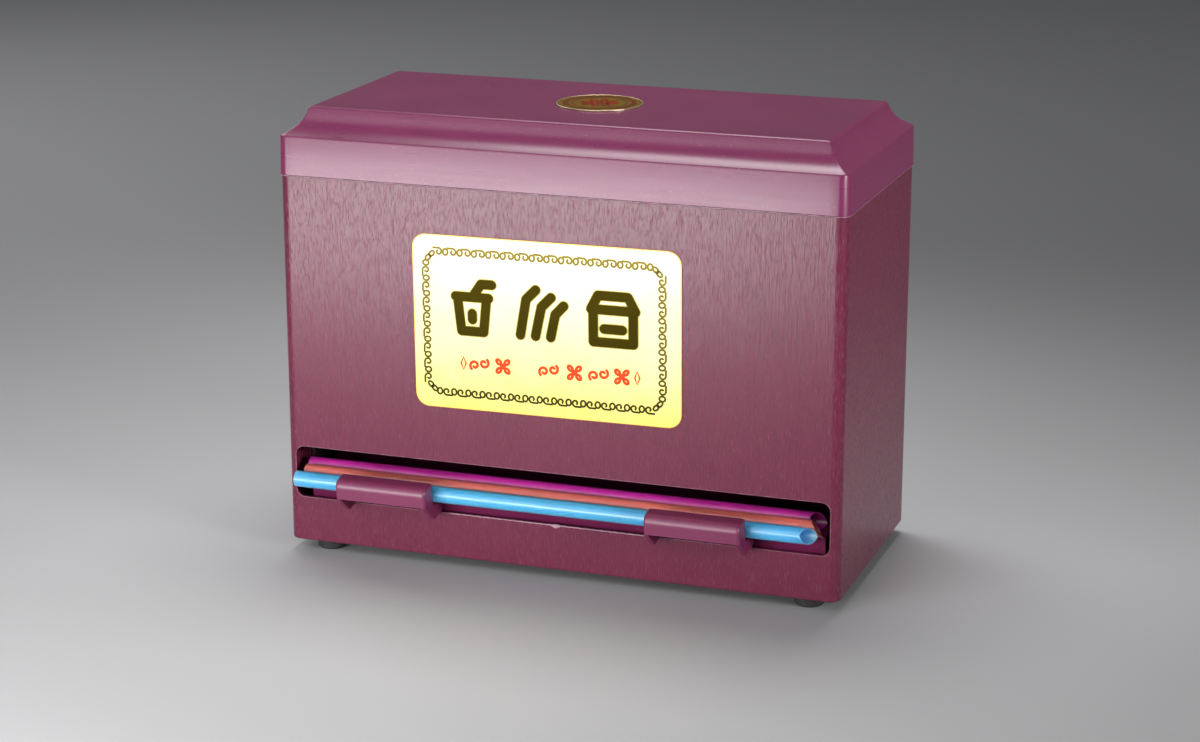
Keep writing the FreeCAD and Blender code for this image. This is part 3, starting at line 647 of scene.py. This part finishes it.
def make_badge():
    top = badge_high.z
    face = top - badge_sink
    middle = (badge_low + badge_high) / 2
    side = badge_radius - badge_round
    disc = np.array([(2 * badge_round, badge_low.z), (side - badge_round, badge_low.z),
                     (side, badge_low.z + badge_round), (side, face - badge_round),
                     (side - badge_round, face), (2 * badge_round, face)])
    disc_foil = foil("badge_foil", (0.150, 0.085, 0.003), (0.110, 0.055, 0.002), 0.7, 0.2)
    piece = surface("badge_disc", [(turned(disc, middle), False, True, True)], disc_foil, "lid")
    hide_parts("lid_badge")
    angle = np.linspace(0, 2 * np.pi, 13)[:-1]
    ring = np.column_stack((badge_radius - badge_rim / 2 + badge_rim / 2 * np.cos(angle),
                            top - badge_rim / 2 + badge_rim / 2 * np.sin(angle)))
    surface("badge_rim", [(turned(ring, middle), True, True, False)],
            foil("badge_rim_foil", (0.62, 0.52, 0.36), (0.50, 0.40, 0.24), 0.3), "lid", 60.0)
    bands = [stroke(oval(0, 0, reach, reach, steps=72), wide, face, top - 0.00002, closed=True)
             for reach, wide in badge_bands]
    rosette = []
    for turn in np.arange(8) * math.pi / 4:
        petal = oval(rosette_reach * math.cos(turn), rosette_reach * math.sin(turn), 0.0027, 0.0013, turn)
        rosette.append(stroke(petal, rosette_line, face, top, closed=True))
    rosette.append(stroke(oval(0, 0, 0.0013, 0.0013), rosette_line, face, top, closed=True))
    for name, strokes, colour, shade in (
            ("badge_bands", bands, (0.12, 0.030, 0.003), (0.090, 0.020, 0.002)),
            ("badge_rosette", rosette, (0.24, 0.008, 0.003), (0.17, 0.006, 0.003))):
        placed = [(grid + np.array((middle.x, middle.y, 0.0)), *rest) for grid, *rest in strokes]
        surface(name, placed, foil(name, colour, shade, 0.7, 0.2), "lid")


make_badge()


# Front plaque
# A thin metal sheet with round corners, stuck on the front a little askew. It is printed pale
# yellow, with a chain of hooks and rings round the edge, three signs and a row of red ornaments.

plaque_low, plaque_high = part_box("front_plaque")
plaque_width = 0.1195
plaque_height = 0.0756
plaque_corner = 0.006
plaque_turn = math.radians(0.5)
plaque_edge = 0.0003
print_lift = 0.00003
ink_lift = 0.00007
layer = 0.000005
border_inset = 0.0072
border_shift = -0.0012
border_corner = 0.0038
border_line = 0.00090
border_pairs_across, border_pairs_up = 15, 8
hook_start, hook_end = 0.00160, 0.00055


def on_plaque(points):
    """Turns (u, v, lift) on the plaque's face into a place: u to the right, v up, lift outwards."""
    u, v, lift = points[..., 0], points[..., 1], points[..., 2]
    middle = (plaque_low + plaque_high) / 2
    return np.stack((middle.x + u * math.cos(plaque_turn) - v * math.sin(plaque_turn), plaque_low.y - lift,
                     middle.z + u * math.sin(plaque_turn) + v * math.cos(plaque_turn)), axis=-1)


def printed(name, strokes, material):
    """A piece of the print, made of strokes on the plaque's face."""
    placed = [(on_plaque(grid), *rest) for grid, *rest in strokes]
    surface(name, placed, material, "housing")


def fade_with_painted_reflection(name, low_colour, high_colour, roughness, shine, cloud=0.12):
    """Ink or print whose colour changes from one at the plaque's foot to another at its top: its own colours,
    paling towards the top as painted reflection.
    """
    material = bpy.data.materials.new(name)
    material.use_nodes = True
    node = material.node_tree.nodes.new
    link = material.node_tree.links.new
    shader = material.node_tree.nodes["Principled BSDF"]
    shader.inputs["Roughness"].default_value = roughness
    shader.inputs["Specular IOR Level"].default_value = shine
    place = node("ShaderNodeTexCoord")
    apart = node("ShaderNodeSeparateXYZ")
    rise = node("ShaderNodeMapRange")
    rise.inputs["From Min"].default_value = plaque_low.z
    rise.inputs["From Max"].default_value = plaque_high.z
    clouds = node("ShaderNodeTexNoise")
    clouds.inputs["Scale"].default_value = 90.0
    clouds.inputs["Detail"].default_value = 3.0
    wander = node("ShaderNodeMath")
    wander.operation = "MULTIPLY_ADD"
    wander.inputs[1].default_value = cloud
    tone = node("ShaderNodeMix")
    tone.data_type = "RGBA"
    tone.inputs["A"].default_value = (*low_colour, 1.0)
    tone.inputs["B"].default_value = (*high_colour, 1.0)
    link(place.outputs["Object"], apart.inputs["Vector"])
    link(apart.outputs["Z"], rise.inputs["Value"])
    link(place.outputs["Object"], clouds.inputs["Vector"])
    link(clouds.outputs["Fac"], wander.inputs[0])
    link(rise.outputs["Result"], wander.inputs[2])
    link(wander.outputs["Value"], tone.inputs["Factor"])
    link(tone.outputs["Result"], shader.inputs["Base Color"])
    bump = node("ShaderNodeBump")
    bump.inputs["Distance"].default_value = 0.00001
    link(clouds.outputs["Fac"], bump.inputs["Height"])
    link(bump.outputs["Normal"], shader.inputs["Normal"])
    return material


def border_strokes():
    """Along each side, hooks and rings in turn, and two oval links across each corner.

    A hook comes in along the outer side and winds inwards: its radius falls evenly from hook_start
    to hook_end while its angle goes from 90 to -250 degrees.
    """
    half_u = plaque_width / 2 - border_inset
    half_v = plaque_height / 2 - border_inset
    run_u, run_v = half_u - border_corner, half_v - border_corner
    sides = (((-run_u, half_v), (1, 0), (0, 1), 2 * run_u, border_pairs_across),
             ((half_u, run_v), (0, -1), (1, 0), 2 * run_v, border_pairs_up),
             ((run_u, -half_v), (-1, 0), (0, -1), 2 * run_u, border_pairs_across),
             ((-half_u, -run_v), (0, 1), (-1, 0), 2 * run_v, border_pairs_up))
    angle = np.radians(np.linspace(90, -250, 18))
    radius = np.linspace(hook_start, hook_end, 18)
    hook = np.column_stack((radius * np.cos(angle), radius * np.sin(angle)))
    hook = np.vstack(((-0.0027, hook_start), (-0.0013, hook_start), hook))
    strokes = []
    for start, along, outward, length, pairs in sides:
        to_side = np.array((along, outward), float)
        first = np.array(start) + (border_shift, 0.0)
        pitch = length / pairs
        for number in range(pairs):
            shift = np.array((pitch * (number + 0.32), 0.0))
            strokes.append(stroke(first + (hook + shift) @ to_side, border_line, 0.0, ink_lift))
            ring = oval(pitch * (number + 0.80), 0.0, 0.00110, 0.00135, steps=12)
            strokes.append(stroke(first + ring @ to_side, border_line, 0.0, ink_lift + 2 * layer,
                                  closed=True))
    for side_u in (-1, 1):
        for side_v in (-1, 1):
            for share in (0.28, 0.72):
                link_u = border_shift + side_u * (run_u + border_corner * share)
                link_v = side_v * (half_v - border_corner * share)
                ring = oval(link_u, link_v, 0.00145, 0.00090, -side_u * side_v * math.pi / 4, 14)
                strokes.append(stroke(ring, border_line, 0.0, ink_lift, closed=True))
    return strokes


sign_line = 0.0041
sign_height = 0.0073
sign_rim = 0.0007
signs = {
    -0.0330: [((-7.5, 4.5), (7.5, 4.5)), ((-6.6, 4.5), (-5.0, -10.4)), ((6.6, 4.5), (5.0, -10.4)),
              ((-5.0, -10.4), (5.0, -10.4)), ((1.2, 6.0), (4.2, 10.4)), ((4.2, 10.4), (9.0, 10.4)),
              ((0.0, -5.2), (0.0, -2.6))],
    -0.0020: [((-9.4, -10.2), (-6.6, 5.4)), ((-6.6, 5.4), (-2.2, 9.8)), ((-2.6, -10.2), (0.2, 2.6)),
              ((0.2, 2.6), (4.6, 7.0)), ((4.2, -10.2), (6.4, -0.2)), ((6.4, -0.2), (10.2, 3.8))],
    0.0300: [((-9.8, 3.6), (9.8, 3.6)), ((-6.6, 9.6), (6.6, 9.6)), ((-9.8, 3.6), (-6.6, 9.6)),
             ((9.8, 3.6), (6.6, 9.6)), ((-8.8, 3.6), (-8.8, -10.4)), ((8.8, 3.6), (8.8, -10.4)),
             ((-8.8, -10.4), (8.8, -10.4)), ((-4.0, -4.6), (4.0, -4.6))],
}


def sign_strokes(width, high):
    """The three signs: a tumbler with a straw, bent straws, and a box with a lid and a slot."""
    strokes = []
    for middle, lines in signs.items():
        for number, line in enumerate(lines):
            path = np.array(line) * 0.001 + np.array((middle, sign_height))
            strokes.append(stroke(path, width, 0.0, high + number * layer, round_steps=4))
    return strokes


ornament_height = -0.0174
ornament_line = 0.00125
ornament_places = (-0.0303, -0.0196, 0.0010, 0.0126, 0.0233, 0.0336)


def ornament_strokes():
    """Red double scrolls and flowers of four petals in turn, with a lozenge at each end of the row."""
    turn = np.radians(np.linspace(0, 420, 18))
    reach = np.linspace(0.0005, 0.0023, 18)
    curl = np.column_stack((reach * np.cos(turn), reach * np.sin(turn)))
    strokes = []
    for number, u in enumerate(ornament_places):
        middle = np.array((u, ornament_height))
        if number % 2:
            centre = oval(*middle, 0.0007, 0.0007, steps=10)
            strokes.append(stroke(centre, ornament_line, 0.0, ink_lift, closed=True))
            for petal in np.arange(4) * math.pi / 2 + math.pi / 4:
                place = middle + 0.0026 * np.array((math.cos(petal), math.sin(petal)))
                strokes.append(stroke(oval(*place, 0.0013, 0.0008, petal, 12), ornament_line, 0.0,
                                      ink_lift + layer, closed=True))
        else:
            for side in (1, -1):
                strokes.append(stroke(middle + side * (curl + (0.0021, 0.0006)), ornament_line, 0.0,
                                      ink_lift + side * layer))
    for u in (-0.0375, 0.0404):
        lozenge = np.array(((u, -0.0028), (u + 0.0011, 0.0), (u, 0.0028), (u - 0.0011, 0.0)))
        strokes.append(stroke(lozenge + (0.0, ornament_height), 0.0008, 0.0, ink_lift, closed=True))
    return strokes


plaque_edge_foil = foil("plaque_edge", (0.72, 0.42, 0.06), (0.60, 0.34, 0.05), 0.3, 0.6)
finish_node("front_plaque", plaque_edge_foil)
sheet_insets = np.array((0.0, 0.0, 0.0001, plaque_height / 2 - plaque_edge - 0.0004))
sheet_lifts = np.array((0.0, print_lift / 2, print_lift, print_lift))
sheet_radii = np.array((plaque_corner - plaque_edge, plaque_corner - plaque_edge,
                        plaque_corner - plaque_edge - 0.0001, 0.0002))
sheet_rings = rounded_rings(sheet_insets, sheet_lifts, sheet_radii, plaque_width / 2 - plaque_edge,
                            plaque_height / 2 - plaque_edge)
# Each print's own colour grows paler towards the plaque's top: painted reflection of the light in the metal
# sheet.
sheet_material = fade_with_painted_reflection("plaque_print", (0.90, 0.81, 0.09), (0.93, 0.91, 0.58), 0.28, 0.3, 0.3)
surface("plaque_print", [(on_plaque(sheet_rings), False, True, True)], sheet_material,
        "housing")
printed("plaque_border", border_strokes(),
        fade_with_painted_reflection("border_ink", (0.006, 0.005, 0.001), (0.27, 0.20, 0.015), 0.6, 0.1))
printed("plaque_sign_edges", sign_strokes(sign_line + sign_rim, ink_lift),
        fade_with_painted_reflection("sign_edge_gold", (0.34, 0.26, 0.02), (0.62, 0.50, 0.10), 0.5, 0.1))
printed("plaque_signs", sign_strokes(sign_line, ink_lift + 0.00006),
        fade_with_painted_reflection("sign_ink", (0.008, 0.006, 0.0005), (0.052, 0.038, 0.001), 0.7, 0.04, 0.8))
printed("plaque_ornaments", ornament_strokes(),
        fade_with_painted_reflection("ornament_red", (0.86, 0.045, 0.004), (0.82, 0.06, 0.015), 0.5, 0.1))


# Flash
# Torn threads of plastic that the moulds left: one along the lower edge of the slot, with the stub
# of a runner at its middle, a hair-thin burr all round the slot, and one round the lid's foot.
# Their pale colours are painted highlight: the thin catch-light along these edges, laid into the colour.

slot_half = 0.1212
slot_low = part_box("body_shell")[0].z + 0.0201
slot_high = slot_low + 0.0234
slot_round = 0.004
flash_start, flash_end = -0.0505, 0.0435
runner_place = 0.0004
front_face = plaque_high.y


def flash_grid(start, end):
    """A thread along x whose height wavers: a sum of three sines, with a bell-shaped stub."""
    x = np.linspace(start, end, 160)
    waver = 0.5 + 0.22 * np.sin(x * 1900) + 0.18 * np.sin(x * 4700 + 1.3) + 0.12 * np.sin(x * 9100 + 0.4)
    taper = np.clip(np.minimum(x - start, end - x) / 0.003, 0.05, 1.0)
    stub = np.exp(-((x - runner_place) / 0.0016) ** 2)
    high = slot_low + (0.00012 + 0.00028 * waver) * taper + 0.0003 * stub
    low = slot_low - (0.00010 + 0.00022 * waver[::-1]) * taper - 0.0011 * stub
    proud = (0.00010 + 0.00010 * waver) * taper
    ring = ((front_face + 0.0001, low), (front_face - proud, low + 0.00005),
            (front_face - proud, high - 0.00005), (front_face + 0.0004, high))
    return np.stack([np.column_stack((x, np.broadcast_to(y, x.shape), z)) for y, z in ring], axis=1)


def burr_grid():
    """A flat thread along the slot's outline, whose corners are quarter circles."""
    middle_z = (slot_low + slot_high) / 2
    ring = rounded_rings(np.zeros(1), np.zeros(1), np.array([slot_round]), slot_half,
                         (slot_high - slot_low) / 2, 30, 8)[0]
    grid, closed, round_columns, capped = stroke(ring[:, :2], burr_width, -0.0001, 0.00005, closed=True)
    placed = np.stack((grid[..., 0], front_face - grid[..., 2], middle_z + grid[..., 1]), axis=-1)
    return placed, closed, round_columns, capped


lid_flash_width = 0.0003
lid_flash_height = 0.00026
burr_width = 0.00024


def lid_flash_grid():
    """A ragged thread round the lid's foot, whose height is a sum of two sines of its point's number."""
    half_x = (lid_high.x - lid_low.x) / 2
    half_y = (lid_high.y - lid_low.y) / 2
    inset = np.full(1, lid_flash_width / 2)
    ring = rounded_rings(inset, np.zeros(1), lid_corner - inset, half_x, half_y, 220, 12)[0]
    grid, closed, round_columns, capped = stroke(ring[:, :2], lid_flash_width, 0.0, lid_flash_height,
                                                 closed=True)
    number = np.arange(len(grid))
    grid[:, 2:, 2] += (0.00009 * np.sin(number * 1.7) + 0.00007 * np.sin(number * 0.53))[:, None]
    middle = (lid_low + lid_high) / 2
    return grid + np.array((middle.x, middle.y, lid_low.z)), closed, round_columns, capped


# The threads are coloured pale pink, far lighter than the maroon they are torn from: painted highlight for
# the light that catches these edges.
flash_plastic_painted_highlight = moulded_plastic("flash_plastic_painted_highlight", (0.46, 0.28, 0.34), (0.30, 0.16, 0.21), 0.35,
                                relief=0.00001, mottle_scale=500.0, dust=0.2)
surface("slot_flash", [(flash_grid(flash_start, flash_end), False, True, True)], flash_plastic_painted_highlight,
        "housing")
# The burr's paler tones are painted highlight: the catch-light along the slot's rim, laid into its colour.
burr_plastic_painted_highlight = moulded_plastic("burr_plastic_painted_highlight", (0.30, 0.13, 0.18), (0.12, 0.02, 0.045), 0.35,
                               relief=0.00001, mottle_scale=500.0, dust=0.2)
surface("slot_burr", [burr_grid()], burr_plastic_painted_highlight, "housing")
surface("lid_flash", [lid_flash_grid()], flash_plastic_painted_highlight, "lid")


# Floor
# A plain pale sheet that the dispenser stands on.

floor_half = 6.0


def plain_floor():
    """A square sheet on the level z = 0, floor_half to each side."""
    corners = [(-floor_half, -floor_half, 0), (floor_half, -floor_half, 0),
               (floor_half, floor_half, 0), (-floor_half, floor_half, 0)]
    mesh = bpy.data.meshes.new("floor")
    mesh.from_pydata(corners, [], [(0, 1, 2, 3)])
    floor = bpy.data.objects.new("floor", mesh)
    bpy.context.scene.collection.objects.link(floor)
    material = bpy.data.materials.new("floor_pale")
    material.use_nodes = True
    shader = material.node_tree.nodes["Principled BSDF"]
    shader.inputs["Base Color"].default_value = (0.46, 0.46, 0.47, 1.0)
    shader.inputs["Roughness"].default_value = 0.7
    mesh.materials.append(material)


plain_floor()


# Light
# A soft box stands on the floor ahead and to the left, where the front mirrors its foot, with a
# wide one over it. Others light the top, the right and the back, and the world is a faint even grey.

def soft_box(name, place, aim, width, height, power, spread=180):
    """A rectangular lamp that faces the aim point and isn't seen itself. Spread is its beam in degrees."""
    lamp = bpy.data.lights.new(name, "AREA")
    lamp.shape = "RECTANGLE"
    lamp.size = width
    lamp.size_y = height
    lamp.energy = power
    lamp.spread = math.radians(spread)
    holder = bpy.data.objects.new(name, lamp)
    bpy.context.scene.collection.objects.link(holder)
    holder.visible_camera = False
    direction = Vector(aim) - Vector(place)
    holder.matrix_world = Matrix.Translation(place) @ direction.to_track_quat("-Z", "Y").to_matrix().to_4x4()


soft_box("key_light", (-0.19, -0.50, 0.075), (-0.03, 0.0, 0.07), 0.42, 0.14, 1.8, 150)
soft_box("upper_light", (-0.35, -1.05, 0.95), (0.0, 0.0, 0.1), 0.95, 0.6, 4.0)
soft_box("top_light", (-0.05, 0.20, 0.85), (-0.02, 0.0, 0.2), 0.5, 0.35, 1.1, 80)
soft_box("side_light", (0.85, -0.3, 0.26), (0.126, 0.0, 0.16), 0.35, 0.22, 0.42, 36)
soft_box("back_light", (-1.15, 0.7, 1.05), (0.0, 0.1, 0.05), 0.9, 0.7, 6.0)
world = bpy.data.worlds.new("studio")
world.use_nodes = True
world.node_tree.nodes["Background"].inputs["Color"].default_value = (0.96, 0.98, 1.0, 1.0)
world.node_tree.nodes["Background"].inputs["Strength"].default_value = 0.1
bpy.context.scene.world = world
bpy.context.scene.view_settings.view_transform = "Standard"


# Camera
# It stands to the right of the front, a little above the lid, as far off as the picture shows.

camera_azimuth = math.radians(19.35)
camera_elevation = math.radians(15.94)
camera_place = (0.39335, -1.10473, 0.41597)
picture_width = 1200
focal_length_px = 2785.2
sensor_width = 36.0
frame_shift = -0.004

camera_data = bpy.data.cameras.new("camera")
camera_data.sensor_width = sensor_width
camera_data.lens = focal_length_px / picture_width * sensor_width
camera_data.shift_x = frame_shift
camera = bpy.data.objects.new("camera", camera_data)
bpy.context.scene.collection.objects.link(camera)
ahead = Vector((-math.sin(camera_azimuth) * math.cos(camera_elevation),
                math.cos(camera_azimuth) * math.cos(camera_elevation), -math.sin(camera_elevation)))
camera.matrix_world = Matrix.Translation(camera_place) @ ahead.to_track_quat("-Z", "Y").to_matrix().to_4x4()
bpy.context.scene.camera = camera
